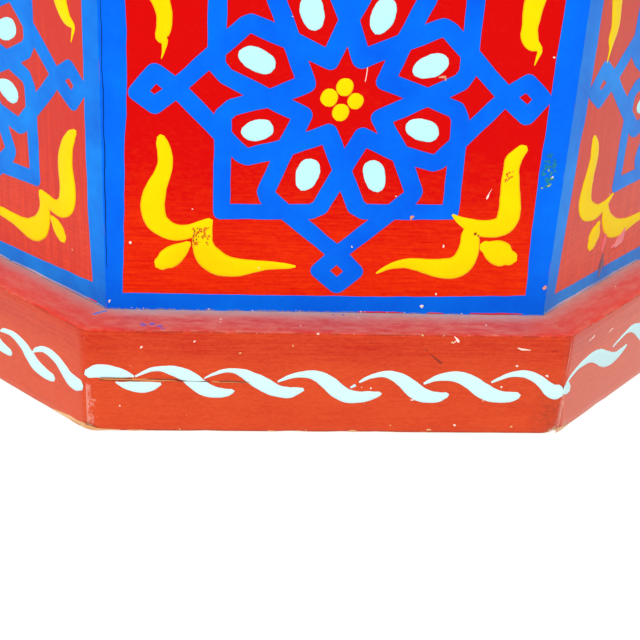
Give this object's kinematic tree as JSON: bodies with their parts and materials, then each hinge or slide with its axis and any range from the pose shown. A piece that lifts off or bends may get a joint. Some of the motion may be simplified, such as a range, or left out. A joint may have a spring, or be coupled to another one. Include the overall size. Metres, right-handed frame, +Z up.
{
  "type": "painted octagonal stool",
  "caption": "Low octagonal wooden stool: mitred side panels with a hand-painted star lattice, a plinth with a braid, a frieze under an overhanging plank seat, open underneath.",
  "frame": {"origin": "centre of the octagonal footprint, on the floor", "axes": "+Z up through the middle of the seat, -Y out of side 1 (the front), +X to the right of someone who looks at the front"},
  "size_m": [0.4856, 0.4852, 0.2953],
  "materials": {
    "panel_paint": "softwood board under brushed glossy red paint",
    "band_paint": "softwood board under worn orange-red paint, bare wood at the corners",
    "seat_paint": "softwood plank under worn glossy red paint",
    "blue_paint": "brushed cobalt blue paint film on the boards",
    "yellow_paint": "brushed yellow paint film on the boards",
    "pale_blue_paint": "brushed pale blue-white paint film on the boards",
    "raw_pine": "sawn unpainted pine",
    "steel": "dull steel wire nails and wood screws"
  },
  "bodies": {
    "root": {"side_panel_1": "panel_paint", "side_panel_2": "panel_paint", "side_panel_3": "panel_paint", "side_panel_4": "panel_paint", "side_panel_5": "panel_paint", "side_panel_6": "panel_paint", "side_panel_7": "panel_paint", "side_panel_8": "panel_paint", "plinth_board_1": "band_paint", "plinth_board_2": "band_paint", "plinth_board_3": "band_paint", "plinth_board_4": "band_paint", "plinth_board_5": "band_paint", "plinth_board_6": "band_paint", "plinth_board_7": "band_paint", "plinth_board_8": "band_paint", "frieze_board_1": "band_paint", "frieze_board_2": "band_paint", "frieze_board_3": "band_paint", "frieze_board_4": "band_paint", "frieze_board_5": "band_paint", "frieze_board_6": "band_paint", "frieze_board_7": "band_paint", "frieze_board_8": "band_paint", "plinth_nail_1": "steel", "plinth_nail_2": "steel", "plinth_nail_3": "steel", "plinth_nail_4": "steel", "plinth_nail_5": "steel", "plinth_nail_6": "steel", "plinth_nail_7": "steel", "plinth_nail_8": "steel", "frieze_nail_1": "steel", "frieze_nail_2": "steel", "frieze_nail_3": "steel", "frieze_nail_4": "steel", "frieze_nail_5": "steel", "frieze_nail_6": "steel", "frieze_nail_7": "steel", "frieze_nail_8": "steel", "corner_block_1": "raw_pine", "corner_block_2": "raw_pine", "corner_block_3": "raw_pine", "corner_block_4": "raw_pine", "corner_block_5": "raw_pine", "corner_block_6": "raw_pine", "corner_block_7": "raw_pine", "corner_block_8": "raw_pine", "seat_plank_1": "seat_paint", "seat_plank_2": "seat_paint", "seat_plank_3": "seat_paint", "seat_batten_1": "raw_pine", "seat_batten_2": "raw_pine", "seat_screw_1": "steel", "seat_screw_2": "steel", "seat_screw_3": "steel", "seat_screw_4": "steel", "seat_screw_5": "steel", "seat_screw_6": "steel"}
  },
  "joints": []
}
